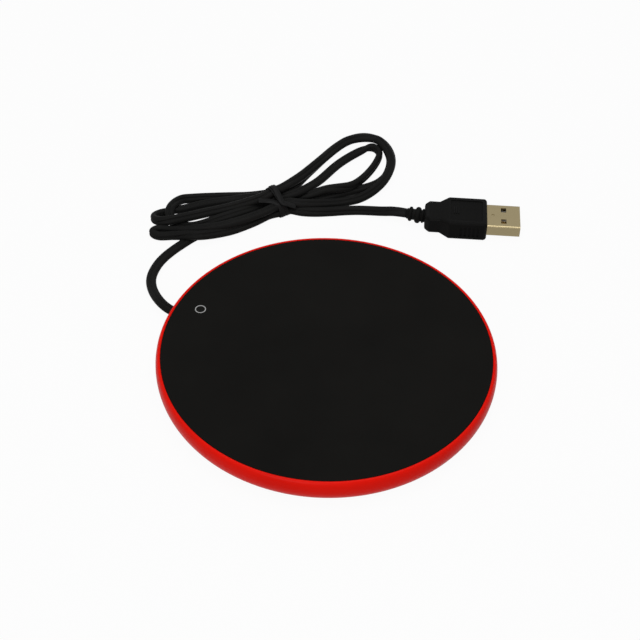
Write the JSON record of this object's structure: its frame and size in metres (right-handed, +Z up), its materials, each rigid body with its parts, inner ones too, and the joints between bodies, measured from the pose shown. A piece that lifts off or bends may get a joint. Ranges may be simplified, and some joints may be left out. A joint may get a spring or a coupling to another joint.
{
  "type": "electric mug warmer",
  "caption": "Flat round electric mug warmer with a rounded rim, flush heating panel, small push key and a USB cord wound in a tied hank.",
  "frame": {"origin": "middle of the disc, on the surface that its feet stand on", "axes": "+Z up through the disc, +Y to the back where the tied cord lies, +X to the right, towards the plug's mouth"},
  "size_m": [0.1324, 0.1784, 0.01],
  "materials": {
    "rim_red": "satin moulded plastic",
    "panel_black": "fine matt black coating",
    "key_black": "matt",
    "cover_black": "fine texture",
    "rubber_black": "matt",
    "adhesive": "matt",
    "spreader_aluminium": "plain sheet",
    "track_copper": "etched foil",
    "film_amber": "smooth film",
    "pad_felt": "fibre felt",
    "board_green": "solder mask",
    "component_black": "moulded",
    "capacitor_can": "plain",
    "fuse_case": "plain",
    "lamp_clear": "clear",
    "light_guide": "frosted",
    "plunger_white": "moulded",
    "dome_steel": "plain",
    "screw_steel": "zinc plated",
    "cord_jacket": "satin",
    "wire_red": "insulation",
    "wire_black": "insulation",
    "wire_white": "insulation",
    "tie_black": "satin",
    "plug_black": "satin",
    "shell_metal": "plated",
    "tongue_white": "moulded",
    "contact_gold": "plated"
  },
  "bodies": {
    "base": {"board_screws": "screw_steel", "bottom_cover": "cover_black", "circuit_board": "board_green", "controller_chip": "component_black", "cord_grommet": "rubber_black", "cord_hank": "cord_jacket", "cord_lead": "cord_jacket", "cord_plug_lead": "cord_jacket", "cord_tail": "cord_jacket", "cover_screws": "screw_steel", "filter_capacitor": "capacitor_can", "foot_1": "rubber_black", "foot_2": "rubber_black", "foot_3": "rubber_black", "foot_4": "rubber_black", "heat_spreader": "spreader_aluminium", "heater_track": "track_copper", "heater_wire_direct": "wire_black", "heater_wire_fused": "wire_red", "heating_film": "film_amber", "insulation_pad": "pad_felt", "key_dome": "dome_steel", "key_lamp": "lamp_clear", "key_light_ring": "light_guide", "key_switch": "component_black", "panel_adhesive": "adhesive", "plug_contact_1": "contact_gold", "plug_contact_2": "contact_gold", "plug_contact_3": "contact_gold", "plug_contact_4": "contact_gold", "plug_grip": "plug_black", "plug_relief": "cord_jacket", "plug_shell": "shell_metal", "plug_tongue": "tongue_white", "power_transistor": "component_black", "rim_shell": "rim_red", "sensor_wire_1": "wire_white", "sensor_wire_2": "wire_white", "supply_wire_negative": "wire_black", "supply_wire_positive": "wire_red", "temperature_sensor": "component_black", "thermal_fuse": "fuse_case", "top_panel": "panel_black", "twist_tie": "tie_black"},
    "key": {"key_cap": "key_black", "key_plunger": "plunger_white"}
  },
  "joints": [
    {"name": "key_press", "type": "slide", "parent": "base", "child": "key", "axis": [0, 0, -1], "range_m": [0, 0.0004], "stiffness_N_per_m": 1500, "springref_m": -0.0003}
  ]
}
